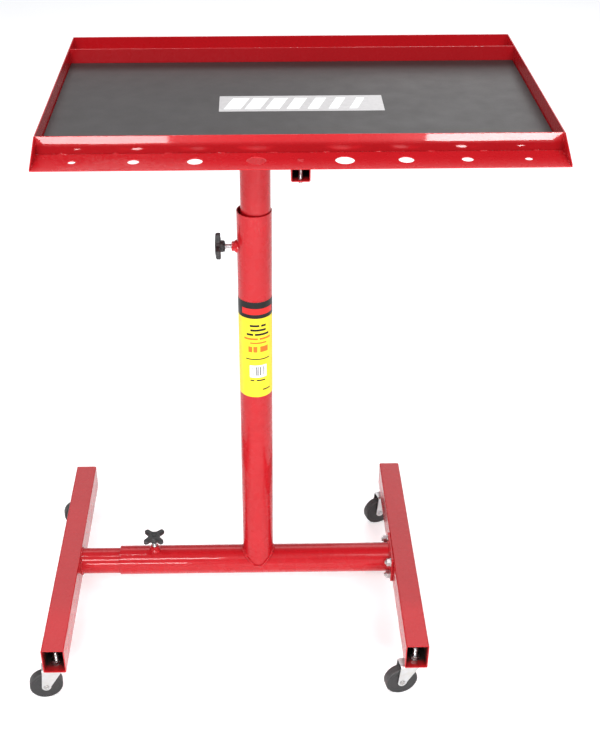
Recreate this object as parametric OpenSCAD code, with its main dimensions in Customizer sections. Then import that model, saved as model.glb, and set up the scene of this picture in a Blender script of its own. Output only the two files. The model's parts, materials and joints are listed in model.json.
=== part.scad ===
// Rolling work table. A shallow steel tray with a rear trough and a front tool shelf sits on
// a telescoping post. The post stands on an H-shaped base whose left foot slides in and out,
// and the base rolls on four swivel casters.
// Origin: the middle of the object's outline, on the floor. X runs along the tray to its
// right end, Y to its back, Z up. Sizes are in millimetres.

/* [Tray] */
// Outside length of the tray
tray_l = 689; // [640:1:740]
// Outside depth of the tray, from its front wall to its back wall
tray_w = 410; // [380:1:440]
// Outside height of the tray walls
wall_h = 25.4; // [22:0.1:40]
// Thickness of the tray's sheet steel
sheet_t = 1.5; // [1:0.1:2]
// Depth of the rear trough, from the divider's front face to the back wall
trough_w = 60; // [50:1:80]
// Depth of the tool shelf in front of the tray
shelf_d = 52.5; // [45:0.5:60]
// Thickness of the rubber mat
mat_t = 2.5; // [2.4:0.1:4]
// Height of the top of the tray walls above the floor
tray_top = 987.5; // [940:0.5:1040]
// How far the tray's middle is to the right of the post
tray_dx = 61.5; // [55:0.5:80]
// How far the front wall's face is in front of the post
tray_front = 172.5; // [160:0.5:200]

/* [Tool holes] */
// Diameter of the largest pair of holes
hole_d_max = 25; // [22:1:27]
// Step in diameter from one pair to the next smaller pair
hole_d_step = 5; // [3:1:5]
// Distance of the first hole from the tray's middle
hole_first = 57; // [50:1:60]
// Distance from one hole to the next
hole_pitch = 79; // [70:1:85]

/* [Post] */
// Outside diameter of the outer post
post_d = 54; // [52:0.5:60]
// Outside diameter of the sliding inner post
inner_d = 46; // [42:0.5:46]
// Wall thickness of the round tubes
tube_t = 1.5; // [1.2:0.1:1.5]
// Height of the outer post's open top above the floor
post_top = 799; // [780:1:830]
// Height of the post's clamp screw above the floor
post_screw_z = 738; // [700:1:750]
// Height of the inner post's lower end above the floor
inner_foot_z = 440; // [400:1:480]

/* [Base] */
// Outside diameter of the fixed cross tube
cross_d = 52; // [51:0.5:54]
// Distance from the post to the middle of the right foot
foot_r_dx = 262; // [240:1:290]
// Distance from the post to the middle of the left foot
foot_l_dx = 340; // [330:1:380]
// Distance from the post to the cross tube's open left end
cross_mouth_dx = 250.5; // [240:0.5:260]
// Distance from the post to the cross tube's clamp screw
cross_screw_dx = 187.5; // [170:0.5:200]
// Length of a foot
foot_l = 489; // [440:1:520]
// Width of a foot's tube
foot_w = 38.1; // [36:0.1:44]
// Height of a foot's tube
foot_h = 50.8; // [48:0.1:60]
// Wall thickness of a foot's tube
foot_t = 1.8; // [1.5:0.1:2.5]

/* [Casters] */
// Diameter of a wheel
wheel_d = 56; // [50:1:58]
// Width of a wheel's tread
wheel_w = 16; // [14:1:21]
// Distance of the axle behind the swivel's axis
trail = 22; // [18:1:24]
// Height of a foot's underside above the floor
foot_z = 72; // [72:0.5:80]
// Distance of a caster's stem from the end of its foot
stem_inset = 22.5; // [21:0.5:30]

/* [Clamp knobs] */
// Diameter over the four lobes of a knob
knob_d = 46; // [38:1:50]
// Thickness of a knob's lobes
knob_t = 9.2; // [8:0.1:11]

/* [Hidden] */
$fn = 64;

RED = [0.78, 0.10, 0.13];
ZINC = [0.75, 0.76, 0.78];
BLACK = [0.10, 0.10, 0.11];

// Clearances: a turning or sliding fit on its shaft, and two tubes that only rest together.
fit = 0.05;
rest_gap = 0.3;
eps = 0.01;

// Casters, one row each: side (-1 left, 1 right), end (-1 front, 1 rear), heading in degrees.
caster_heading = [10, 12, 12, 20];
function caster_side(i) = i % 2 == 0 ? -1 : 1;
function caster_end(i) = i < 2 ? -1 : 1;

// Where the post stands, so that the origin is in the middle of the outline.
reach_l = foot_l_dx + (trail + wheel_d / 2) * cos(caster_heading[0])
        + (wheel_w / 2 - 2) * sin(caster_heading[0]);
reach_r = tray_dx + tray_l / 2;
post_x = (reach_l - reach_r) / 2;
tray_x = post_x + tray_dx;
right_x = post_x + foot_r_dx;
left_x = post_x - foot_l_dx;
stem_y = foot_l / 2 - stem_inset;

// Tray levels and edges.
pan_z = tray_top - wall_h;
floor_z = pan_z + sheet_t;
front_y = -tray_front;
back_y = front_y + tray_w;
divider_y = back_y - trough_w;
shelf_y = front_y - shelf_d / 2;
bend_r = 2.5;
divider_foot = 12;
pan_l = tray_l - 2 * sheet_t;

// Rails under the tray.
rail_s = 25.4;
rail_t = 1.5;
rail_z = pan_z - rail_s;
rail_front_y = shelf_y - 7.5;
rail_back_y = back_y - 22;
cross_rail_l = post_x - 150;
cap_t = 4;
bolt_xy = [[tray_x, shelf_y], [tray_x, back_y - trough_w / 2], [cross_rail_l + 15, 0]];
rail_bolt_d = 6;

// The clamp screws push each inner tube against the far side of its outer tube.
post_shift = (post_d - inner_d) / 2 - tube_t - rest_gap;
cross_shift = (cross_d - inner_d) / 2 - tube_t - rest_gap;
inner_x = post_x + post_shift;
foot_mid_z = foot_z + foot_h / 2;
inner_cross_z = foot_mid_z - cross_shift;
inner_cross_end = post_x - 40;
plate_t = 4;
flange_x = right_x - foot_w / 2 - plate_t;

// Clamp screw: lengths are measured outward from the tube's surface.
screw_d = 8;
boss_h = 8;
screw_gap = 9.8;
hub_h = 6.5;
hub_d = 18.5;
knob_grip = 6;

// Flange bolts.
flange_w = 80;
bolt_y = 31;
bolt_z = 15;
bolt_d = 8;
washer_t = 1.6;
nut_t = 6.5;
bolt_end = 3;

// Label on the post and panel on the mat.
label_z = 475;
label_h = 178;
label_t = 0.25;
label_arc = 196;
panel_l = 233;
panel_w = 60;
panel_t = 0.2;
panel_x = 7.5;
panel_y = -5;

// Caster stack, downward from the foot's underside.
wheel_r = wheel_d / 2;
stem_d = 10;
race_t = 2;
race_d = 30;
ball_d = 2.5;
ball_count = 12;
ball_ring_d = 22;
crown_t = 2.5;
crown_z = foot_z - race_t - ball_d - crown_t;
peen_t = 2;
leg_t = 2;
leg_gap = wheel_w + 2;
axle_d = 6;
leg_end_r = 7.8;
stem_top = foot_z + 28;
stem_nut_t = 8;

// A square or round-cornered box section, from exact arcs.
module round_rect(w, h, r) {
    square([w - 2 * r, h], center = true);
    square([w, h - 2 * r], center = true);
    for (sx = [-1, 1], sy = [-1, 1])
        translate([sx * (w / 2 - r), sy * (h / 2 - r)]) circle(r);
}

// A box-section tube along Y, its middle at the origin.
module box_tube_y(w, h, t, len, r) {
    rotate([90, 0, 0]) linear_extrude(len, center = true) difference() {
        round_rect(w, h, r);
        round_rect(w - 2 * t, h - 2 * t, max(r - t, 0.3));
    }
}

// A round tube along Z from z0 to z1.
module tube_z(d, t, z0, z1) {
    translate([0, 0, z0]) difference() {
        cylinder(d = d, h = z1 - z0);
        translate([0, 0, -1]) cylinder(d = d - 2 * t, h = z1 - z0 + 2);
    }
}

// Children that are drawn along Z are laid along +X.
module along_x() { rotate([0, 90, 0]) children(); }

module hex_nut(across, h, bore) {
    difference() {
        cylinder(d = across / cos(30), h = h, $fn = 6);
        translate([0, 0, -1]) cylinder(d = bore, h = h + 2);
    }
}

// ---- Base ----

module outer_post() {
    color(RED) difference() {
        translate([post_x, 0, 0]) tube_z(post_d, tube_t, foot_mid_z, post_top);
        // Fish mouth that fits the cross tube
        translate([post_x - 50, 0, foot_mid_z]) along_x() cylinder(d = cross_d, h = 100);
        translate([post_x, 0, post_screw_z]) rotate([0, -90, 0]) cylinder(d = 9, h = 40);
    }
}

module cross_tube() {
    mouth = post_x - cross_mouth_dx;
    color(RED) difference() {
        translate([mouth, 0, foot_mid_z]) along_x() tube_z(cross_d, tube_t, 0, flange_x - mouth);
        translate([post_x - cross_screw_dx, 0, foot_mid_z]) cylinder(d = 9, h = 40);
    }
}

// Fillet of weld around the post, where its shell and the cross tube's shell cross.
module post_weld() {
    bead = 2.5;
    reach = 80;
    color(RED) translate([post_x, 0, foot_mid_z]) difference() {
        intersection() {
            translate([0, 0, 1]) cylinder(d = post_d + 2 * bead, h = reach);
            along_x() cylinder(d = cross_d + 2 * bead, h = reach, center = true);
        }
        cylinder(d = post_d, h = reach);
        along_x() cylinder(d = cross_d, h = 2 * reach, center = true);
    }
}

// Weld nut for a clamp screw, standing on a tube's surface at height r above its axis.
module screw_boss(r) {
    translate([0, 0, r - 4]) cylinder(d1 = 21, d2 = 14, h = 8);
    translate([0, 0, r - 4]) hex_nut(13, boss_h + 4, 0.5);
}

module post_screw_boss() {
    color(RED) translate([post_x, 0, 0]) difference() {
        translate([0, 0, post_screw_z]) rotate([0, -90, 0]) screw_boss(post_d / 2);
        translate([0, 0, post_screw_z - 30]) cylinder(d = post_d, h = 60);
        translate([0, 0, post_screw_z]) rotate([0, -90, 0]) cylinder(d = screw_d + 2 * fit, h = 60);
    }
}

module cross_screw_boss() {
    color(RED) translate([post_x - cross_screw_dx, 0, foot_mid_z]) difference() {
        screw_boss(cross_d / 2);
        rotate([0, 90, 0]) cylinder(d = cross_d, h = 60, center = true);
        cylinder(d = screw_d + 2 * fit, h = 60);
    }
}

// Places children at the four flange bolts, pointing to +X.
module at_flange_bolts(x) {
    for (sy = [-1, 1], sz = [-1, 1])
        translate([x, sy * bolt_y, foot_mid_z + sz * bolt_z]) along_x() children();
}

module cross_flange() {
    color(RED) difference() {
        translate([flange_x, 0, foot_mid_z]) along_x() linear_extrude(plate_t)
            round_rect(foot_h, flange_w, 4);
        at_flange_bolts(flange_x - 1) cylinder(d = bolt_d + 0.4, h = plate_t + 2);
    }
}

module foot(x) {
    color(RED) difference() {
        translate([x, 0, foot_mid_z]) box_tube_y(foot_w, foot_h, foot_t, foot_l, 3);
        for (s = [-1, 1])
            translate([x, s * stem_y, foot_z - 1]) cylinder(d = stem_d + 0.5, h = 10);
        children();
    }
}

module right_foot() {
    foot(right_x) at_flange_bolts(right_x - 30) cylinder(d = bolt_d + 0.4, h = 30);
}

// Bolts with their heads inside the right foot.
module flange_bolts() {
    tip = flange_x - washer_t - nut_t - bolt_end;
    head = right_x - foot_w / 2 + foot_t;
    color(ZINC) {
        at_flange_bolts(tip) union() {
            cylinder(d1 = bolt_d - 1.6, d2 = bolt_d, h = 1);
            translate([0, 0, 1]) cylinder(d = bolt_d, h = head - tip - 1);
            translate([0, 0, head - tip]) cylinder(d = 13 / cos(30), h = 5.3, $fn = 6);
        }
    }
}

module flange_washers() {
    color(ZINC) at_flange_bolts(flange_x - washer_t) tube_z(16, 4, 0, washer_t);
}

module flange_nuts() {
    color(ZINC) at_flange_bolts(flange_x - washer_t - nut_t) hex_nut(13, nut_t, bolt_d);
}

module stem_nuts(x) {
    color(ZINC) for (s = [-1, 1])
        translate([x, s * stem_y, foot_z + foot_t]) hex_nut(16, stem_nut_t, stem_d);
}

module post_label() {
    color("gold") translate([post_x, 0, label_z]) intersection() {
        tube_z(post_d + 2 * label_t, label_t, 0, label_h);
        rotate([0, 0, -90 - label_arc / 2]) rotate_extrude(angle = label_arc)
            square([post_d, label_h]);
    }
}

// ---- Sliding left foot ----

module inner_cross_tube() {
    start = left_x + foot_w / 2;
    color(RED) translate([start, 0, inner_cross_z]) along_x()
        tube_z(inner_d, tube_t, 0, inner_cross_end - start);
}

module left_foot_weld() {
    bead = 2.5;
    color(RED) translate([left_x + foot_w / 2, 0, inner_cross_z]) along_x() rotate_extrude()
        polygon([[inner_d / 2, 0], [inner_d / 2 + bead, 0], [inner_d / 2, bead]]);
}

// ---- Inner post and tray frame ----

module inner_post() {
    color(RED) translate([inner_x, 0, 0]) tube_z(inner_d, tube_t, inner_foot_z, rail_z - cap_t);
}

module post_cap_plate() {
    color(RED) translate([inner_x, 0, rail_z - cap_t]) linear_extrude(cap_t)
        round_rect(70, 60, 4);
}

module cross_rail() {
    len = tray_x - rail_s / 2 - cross_rail_l;
    color(RED) difference() {
        translate([cross_rail_l + len / 2, 0, rail_z + rail_s / 2]) rotate([0, 0, 90])
            box_tube_y(rail_s, rail_s, rail_t, len, 1);
        translate([bolt_xy[2][0], 0, rail_z - 1]) cylinder(d = rail_bolt_d, h = rail_s + 2);
    }
}

module tray_rail() {
    color(RED) difference() {
        translate([tray_x, (rail_front_y + rail_back_y) / 2, rail_z + rail_s / 2])
            box_tube_y(rail_s, rail_s, rail_t, rail_back_y - rail_front_y, 1);
        for (i = [0, 1])
            translate([bolt_xy[i][0], bolt_xy[i][1], rail_z - 1])
                cylinder(d = rail_bolt_d, h = rail_s + 2);
    }
}

// Low round heads on the sheet, with threaded ends that show under the rails.
module rail_bolts() {
    head_h = 1.8;
    show = 4;
    color(ZINC) for (p = bolt_xy) translate([p[0], p[1], 0]) {
        translate([0, 0, rail_z - show]) cylinder(d = rail_bolt_d, h = floor_z - rail_z + show);
        translate([0, 0, floor_z]) cylinder(d1 = 11, d2 = 8, h = head_h);
    }
}

// ---- Tray ----

// Outline of a folded tray's section: square above, rounded at its two lower corners.
module tray_section(w, h, r) {
    translate([-w / 2, r]) square([w, h - r]);
    translate([-w / 2 + r, 0]) square([w - 2 * r, h]);
    for (s = [-1, 1]) translate([s * (w / 2 - r), r]) circle(r);
}

// One sheet: the floor, folded up along its front and back.
module tray_pan() {
    color(RED) difference() {
        translate([tray_x, front_y + tray_w / 2, pan_z]) rotate([90, 0, 90])
            linear_extrude(pan_l, center = true) difference() {
                tray_section(tray_w, wall_h, bend_r);
                translate([0, sheet_t])
                    tray_section(tray_w - 2 * sheet_t, wall_h, bend_r - sheet_t);
            }
        for (i = [1, 2])
            translate([bolt_xy[i][0], bolt_xy[i][1], pan_z - 1])
                cylinder(d = rail_bolt_d, h = sheet_t + 2);
    }
}

// End plate, welded across the end of pan and shelf. Its front corner slopes down to the shelf.
module tray_end(x) {
    tip_h = 3;
    shelf_front = front_y - shelf_d;
    color(RED) translate([x, 0, pan_z]) rotate([90, 0, 90]) linear_extrude(sheet_t)
        polygon([
            [back_y, 0], [back_y, wall_h], [front_y, wall_h], [shelf_front, tip_h],
            [shelf_front, 0]
        ]);
}

// Angle strip: its upright stands between mat and trough, its foot lies in the trough.
module rear_divider() {
    color(RED) translate([tray_x - pan_l / 2, divider_y, floor_z]) rotate([90, 0, 90])
        linear_extrude(pan_l) difference() {
            union() {
                translate([0, bend_r]) square([sheet_t, wall_h - sheet_t - bend_r]);
                translate([bend_r, 0]) square([divider_foot - bend_r, sheet_t]);
                translate([bend_r, bend_r]) circle(bend_r);
            }
            translate([bend_r, bend_r]) circle(bend_r - sheet_t);
            translate([bend_r, sheet_t]) square([10, wall_h]);
            translate([sheet_t, bend_r]) square([10, wall_h]);
        }
}

module tool_shelf() {
    color(RED) difference() {
        translate([tray_x - pan_l / 2, front_y - shelf_d, pan_z]) cube([pan_l, shelf_d, sheet_t]);
        for (i = [0:3], s = [-1, 1])
            translate([tray_x + s * (hole_first + i * hole_pitch), shelf_y, pan_z - 1])
                cylinder(d = hole_d_max - i * hole_d_step, h = sheet_t + 2);
        translate([tray_x, shelf_y, pan_z - 1]) cylinder(d = rail_bolt_d, h = sheet_t + 2);
    }
}

module mat() {
    margin = 1;
    len = pan_l - 2 * margin;
    wide = divider_y - front_y - sheet_t - 2 * margin;
    color([0.30, 0.29, 0.29]) difference() {
        translate([tray_x, front_y + sheet_t + margin + wide / 2, floor_z]) linear_extrude(mat_t)
            round_rect(len, wide, 2);
        // Pocket for the bolt head that lies under the mat
        translate([bolt_xy[2][0], bolt_xy[2][1], floor_z - 1]) cylinder(d = 14, h = 3);
        at_mat_panel() linear_extrude(2 * panel_t) round_rect(panel_l, panel_w, 1);
    }
}

// The printed panel is let into the mat, flush with its top.
module at_mat_panel() {
    translate([tray_x + panel_x, (front_y + divider_y) / 2 + panel_y, floor_z + mat_t - panel_t])
        children();
}

module mat_panel() {
    color("lightgray") at_mat_panel() linear_extrude(panel_t) round_rect(panel_l, panel_w, 1);
}

// ---- Clamp screws and knobs ----

// Threaded rod from an inner tube's surface, r_tip from the outer tube's axis, into the knob.
module clamp_screw(r_tip, r_tube) {
    top = r_tube + boss_h + screw_gap + knob_grip;
    translate([0, 0, r_tip]) cylinder(d1 = screw_d - 2, d2 = screw_d, h = 1);
    translate([0, 0, r_tip + 1]) cylinder(d = screw_d, h = top - r_tip - 1);
}

module knob(r_tube) {
    lobe_r = 4.7;
    base = r_tube + boss_h + screw_gap;
    difference() {
        translate([0, 0, base]) union() {
            cylinder(d = hub_d, h = hub_h + 1);
            translate([0, 0, hub_h]) linear_extrude(knob_t) {
                circle(11);
                for (a = [45:90:315]) rotate(a) {
                    translate([0, -lobe_r]) square([knob_d / 2 - lobe_r, 2 * lobe_r]);
                    translate([knob_d / 2 - lobe_r, 0]) circle(lobe_r);
                }
            }
        }
        translate([0, 0, base - 1]) cylinder(d = screw_d + 2 * fit, h = knob_grip + 1);
    }
}

module on_post_screw() {
    translate([post_x, 0, post_screw_z]) rotate([0, -90, 0]) children();
}

module on_cross_screw() {
    translate([post_x - cross_screw_dx, 0, foot_mid_z]) children();
}

module post_screw() {
    color(ZINC) on_post_screw() clamp_screw(inner_d / 2 - post_shift + rest_gap, post_d / 2);
}

module post_knob() {
    color(BLACK) on_post_screw() rotate(42) knob(post_d / 2);
}

module cross_screw() {
    color(ZINC) on_cross_screw() clamp_screw(inner_d / 2 - cross_shift + rest_gap, cross_d / 2);
}

module cross_knob() {
    color(BLACK) on_cross_screw() knob(cross_d / 2);
}

// ---- Casters ----

// Puts a caster's parts under its foot. Its own frame has the stem on Z and the axle at -X.
module at_caster(i) {
    x = caster_side(i) < 0 ? left_x : right_x;
    translate([x, caster_end(i) * stem_y, 0]) rotate(caster_heading[i]) children();
}

module stem(i) {
    color(ZINC) at_caster(i) {
        translate([0, 0, crown_z - peen_t]) cylinder(d1 = 11, d2 = 14, h = peen_t);
        translate([0, 0, crown_z]) cylinder(d = stem_d, h = stem_top - crown_z - 1);
        translate([0, 0, foot_z - race_t]) cylinder(d = race_d, h = race_t);
        translate([0, 0, stem_top - 1]) cylinder(d1 = stem_d, d2 = stem_d - 2, h = 1);
    }
}

module balls(i) {
    color(ZINC) at_caster(i) for (k = [0:ball_count - 1]) rotate(k * 360 / ball_count)
        translate([ball_ring_d / 2, 0, crown_z + crown_t + ball_d / 2]) sphere(d = ball_d, $fn = 24);
}

// Outline of a leg: wide under the crown, rounded around the axle. Drawn in X and Z.
module leg_outline() {
    translate([-trail, wheel_r]) circle(leg_end_r);
    polygon([
        [-trail - 4, crown_z + crown_t], [8, crown_z + crown_t], [8, crown_z - 3],
        [-trail + leg_end_r * cos(28), wheel_r - leg_end_r * sin(28)],
        [-trail, wheel_r], [-trail - leg_end_r, wheel_r]
    ]);
}

module fork(i) {
    color(ZINC) at_caster(i) difference() {
        union() {
            // Two legs, and the crown that joins them
            for (s = [-1, 1]) translate([0, s * (leg_gap + leg_t) / 2, 0]) rotate([90, 0, 0])
                linear_extrude(leg_t, center = true) leg_outline();
            translate([-trail - 4, -leg_gap / 2 - eps, crown_z])
                cube([trail + 12, leg_gap + 2 * eps, crown_t]);
            translate([0, 0, crown_z]) cylinder(d = race_d + 6, h = crown_t);
            // Rim that shields the balls
            tube_z(race_d + 6, 2, crown_z, foot_z - 0.8);
        }
        translate([0, 0, crown_z - 10]) cylinder(d = stem_d + 2 * fit, h = 20);
        translate([-trail, 0, wheel_r]) rotate([90, 0, 0])
            cylinder(d = axle_d, h = 60, center = true);
    }
}

module axle(i) {
    half = leg_gap / 2 + leg_t;
    color(ZINC) at_caster(i) translate([-trail, 0, wheel_r]) rotate([90, 0, 0]) {
        cylinder(d = axle_d, h = 2 * half, center = true);
        translate([0, 0, half]) cylinder(d1 = 11, d2 = 7, h = 2);
        translate([0, 0, -half - 2]) cylinder(d1 = 7, d2 = 11, h = 2);
    }
}

// Tread with rounded shoulders, a thinner web, and a hub that nearly fills the fork.
module wheel_section() {
    shoulder = 2;
    web = wheel_w - 1;
    hub_r = 8;
    hub_w = leg_gap - 0.6;
    rim = 5;
    bore_r = axle_d / 2 + fit;
    translate([bore_r, -web / 2]) square([wheel_r - bore_r - rim / 2, web]);
    translate([bore_r, -hub_w / 2]) square([hub_r - bore_r, hub_w]);
    translate([wheel_r - rim, -wheel_w / 2]) square([rim - shoulder, wheel_w]);
    translate([wheel_r - rim, -wheel_w / 2 + shoulder]) square([rim, wheel_w - 2 * shoulder]);
    for (s = [-1, 1]) translate([wheel_r - shoulder, s * (wheel_w / 2 - shoulder)])
        circle(shoulder);
}

module wheel(i) {
    color(BLACK) at_caster(i) translate([-trail, 0, wheel_r]) rotate([90, 0, 0])
        rotate_extrude($fn = 96) wheel_section();
}

outer_post();
cross_tube();
post_weld();
post_screw_boss();
cross_screw_boss();
cross_flange();
right_foot();
flange_bolts();
flange_washers();
flange_nuts();
post_label();
stem_nuts(right_x);  // right_stem_nuts
inner_cross_tube();
foot(left_x);  // left_foot
left_foot_weld();
stem_nuts(left_x);  // left_stem_nuts
inner_post();
post_cap_plate();
cross_rail();
tray_rail();
rail_bolts();
tray_pan();
tray_end(tray_x - tray_l / 2);  // left_end
tray_end(tray_x + tray_l / 2 - sheet_t);  // right_end
rear_divider();
tool_shelf();
mat();
mat_panel();
post_screw();
post_knob();
cross_screw();
cross_knob();
stem(0);  // front_left_stem
stem(1);  // front_right_stem
stem(2);  // rear_left_stem
stem(3);  // rear_right_stem
balls(0);  // front_left_balls
balls(1);  // front_right_balls
balls(2);  // rear_left_balls
balls(3);  // rear_right_balls
fork(0);  // front_left_fork
fork(1);  // front_right_fork
fork(2);  // rear_left_fork
fork(3);  // rear_right_fork
axle(0);  // front_left_axle
axle(1);  // front_right_axle
axle(2);  // rear_left_axle
axle(3);  // rear_right_axle
wheel(0);  // front_left_wheel
wheel(1);  // front_right_wheel
wheel(2);  // rear_left_wheel
wheel(3);  // rear_right_wheel
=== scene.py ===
"""Looks of the rolling work table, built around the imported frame.

Meshes are made in millimetres in the frame's own axes, and piece() scales them to metres.
"""
import json
import math

import bmesh
import bpy
from mathutils import Matrix, Vector, noise
from mathutils.geometry import tessellate_polygon

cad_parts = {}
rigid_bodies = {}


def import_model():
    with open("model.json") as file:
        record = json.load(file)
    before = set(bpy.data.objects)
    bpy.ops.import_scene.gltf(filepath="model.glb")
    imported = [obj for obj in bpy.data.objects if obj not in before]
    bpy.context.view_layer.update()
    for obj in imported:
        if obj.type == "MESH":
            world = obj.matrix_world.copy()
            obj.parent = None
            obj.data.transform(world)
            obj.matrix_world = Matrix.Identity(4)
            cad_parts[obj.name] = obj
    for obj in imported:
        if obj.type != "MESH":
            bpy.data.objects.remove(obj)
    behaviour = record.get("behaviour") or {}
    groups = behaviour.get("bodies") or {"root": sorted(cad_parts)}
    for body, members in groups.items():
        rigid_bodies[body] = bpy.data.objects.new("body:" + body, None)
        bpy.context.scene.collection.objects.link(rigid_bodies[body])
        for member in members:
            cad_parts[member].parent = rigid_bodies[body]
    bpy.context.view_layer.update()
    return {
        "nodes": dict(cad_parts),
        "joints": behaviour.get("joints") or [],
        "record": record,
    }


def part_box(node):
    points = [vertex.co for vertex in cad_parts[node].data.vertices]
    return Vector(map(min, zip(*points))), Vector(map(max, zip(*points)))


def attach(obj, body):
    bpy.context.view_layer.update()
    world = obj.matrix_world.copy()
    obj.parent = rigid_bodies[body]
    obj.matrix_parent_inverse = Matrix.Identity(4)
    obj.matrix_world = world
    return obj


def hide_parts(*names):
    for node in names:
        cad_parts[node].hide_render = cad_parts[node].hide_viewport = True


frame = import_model()
MM = 0.001
CASTERS = ("front_left", "front_right", "rear_left", "rear_right")


# ------------ frame

def node_box(node):
    """Lowest and highest corner of a CAD node, in millimetres."""
    low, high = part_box(node)
    return low / MM, high / MM


def node_middle(node):
    low, high = node_box(node)
    return (low + high) / 2


def joint(name):
    return next(j for j in frame["joints"] if j["name"] == name)


# ------------ mesh building

class Shape:
    """Points and faces in millimetres, gathered before they become one Blender mesh."""

    def __init__(self):
        self.points = []
        self.faces = []
        self.inks = []

    def add(self, other, matrix=None, ink=None):
        """Adds another shape, moved by matrix. ink says which of the piece's materials it takes."""
        start = len(self.points)
        self.points += [matrix @ p if matrix else p.copy() for p in other.points]
        self.faces += [tuple(start + i for i in face) for face in other.faces]
        self.inks += other.inks if ink is None else [ink] * len(other.faces)
        return self

    def face(self, indices, ink=0):
        self.faces.append(tuple(indices))
        self.inks.append(ink)

    def moved(self, matrix):
        return Shape().add(self, matrix)


def skin(rings, around=True, along=False, caps=False):
    """A surface through rings of points. around closes each ring, along joins the last to the first."""
    shape = Shape()
    count = len(rings[0])
    for ring in rings:
        shape.points += [Vector(p) for p in ring]
    spans = len(rings) if along else len(rings) - 1
    steps = count if around else count - 1
    for i in range(spans):
        a, b = i * count, (i + 1) % len(rings) * count
        for j in range(steps):
            k = (j + 1) % count
            shape.face((a + j, a + k, b + k, b + j))
    if caps:
        last = (len(rings) - 1) * count
        shape.face(reversed(range(count)))
        shape.face(range(last, last + count))
    return shape


def fillet(corners, steps=4, closed=True):
    """Rounds the corners of a polygon. Each corner is (x, y, radius)."""
    points = []
    for i, (x, y, radius) in enumerate(corners):
        corner = Vector((x, y))
        if radius <= 0 or (not closed and i in (0, len(corners) - 1)):
            points.append(corner)
            continue
        to_last = (Vector(corners[i - 1][:2]) - corner).normalized()
        to_next = (Vector(corners[(i + 1) % len(corners)][:2]) - corner).normalized()
        half = to_last.angle(to_next) / 2
        centre = corner + (to_last + to_next).normalized() * radius / math.sin(half)
        start = corner + to_last * radius / math.tan(half) - centre
        end = corner + to_next * radius / math.tan(half) - centre
        turn = math.atan2(start.x * end.y - start.y * end.x, start.dot(end))
        for k in range(steps + 1):
            a = turn * k / steps
            cos, sin = math.cos(a), math.sin(a)
            points.append(centre + Vector((start.x * cos - start.y * sin, start.x * sin + start.y * cos)))
    return points


def circle(radius, count=64, clockwise=False, centre=(0, 0)):
    way = -1 if clockwise else 1
    return [Vector((centre[0] + radius * math.cos(way * math.tau * k / count),
                    centre[1] + radius * math.sin(way * math.tau * k / count))) for k in range(count)]


def rounded_rect(width, height, radius, steps=4, splits=1):
    """Counter-clockwise outline about the origin. splits divides each straight side."""
    w, h = width / 2, height / 2
    corners = fillet([(w, h, radius), (-w, h, radius), (-w, -h, radius), (w, -h, radius)], steps)
    points = []
    for i, p in enumerate(corners):
        points.append(p)
        if i % (steps + 1) == steps:
            q = corners[(i + 1) % len(corners)]
            points += [p.lerp(q, k / splits) for k in range(1, splits)]
    return points


def inset(points, distance):
    """Moves a closed outline to its left, which is inward for one that runs counter-clockwise."""
    moved = []
    for i, p in enumerate(points):
        before = (p - points[i - 1]).normalized()
        after = (points[(i + 1) % len(points)] - p).normalized()
        normal = Vector((-before.y - after.y, before.x + after.x)).normalized()
        lean = max(normal.dot(Vector((-before.y, before.x))), 0.4)
        moved.append(p + normal * distance / lean)
    return moved


def plate(outlines, thickness, bevel=0.4, steps=2):
    """Flat plate from Z 0 up, with rounded edges. The outline runs counter-clockwise, holes clockwise."""
    shape = Shape()
    levels = []
    for k in range(steps + 1):
        a = math.pi / 2 * k / steps
        levels.append((bevel * (1 - math.sin(a)), bevel * (1 - math.cos(a))))
    levels += [(e, thickness - z) for e, z in reversed(levels)]
    ends = ([], [])
    for outline in outlines:
        rings = [[(p.x, p.y, z) for p in inset(outline, e)] for e, z in levels]
        start = len(shape.points)
        shape.add(skin(rings))
        ends[0].append(range(start, start + len(outline)))
        ends[1].append(range(len(shape.points) - len(outline), len(shape.points)))
    for loops in ends:
        flat = [i for loop in loops for i in loop]
        triangles = tessellate_polygon([[shape.points[i] for i in loop] for loop in loops])
        for triangle in triangles:
            shape.face([flat[i] for i in triangle])
    return shape


def level_ring(radius, z, count):
    """Points of a level circle about Z."""
    return [(radius * math.cos(math.tau * k / count), radius * math.sin(math.tau * k / count), z)
            for k in range(count)]


def lathe(profile, count=64, closed=True):
    """Turns a profile of (radius, height) about Z."""
    rings = [level_ring(r, z, count) for r, z in profile]
    return skin(rings, along=closed, caps=not closed)


def box_tube(width, height, wall, length, radius, rim=0.35, inside=0):
    """Rounded box section along Z, open at both ends. inside is the ink of its inner faces."""
    profile = fillet([(0, 0, rim), (0, length, rim), (wall, length, rim), (wall, 0, rim)], 2)
    rings = []
    for e, z in profile:
        outline = rounded_rect(width - 2 * e, height - 2 * e, max(radius - e, 0.4), 5)
        rings.append([(p.x, p.y, z) for p in outline])
    shape = skin(rings, along=True)
    loop = len(shape.points) // len(rings)
    span = next(i for i in range(len(rings) - 1)
                if profile[i].x > rim + 0.01 and profile[i + 1].y < length / 2)
    shape.inks[span * loop:(span + 1) * loop] = [inside] * loop
    return shape


def round_tube(radius, wall, length, rim=0.4, count=96):
    low, high = (radius - wall, 0, rim), (radius - wall, length, rim)
    return lathe(fillet([(radius, 0, rim), (radius, length, rim), high, low], 3), count)


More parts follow.
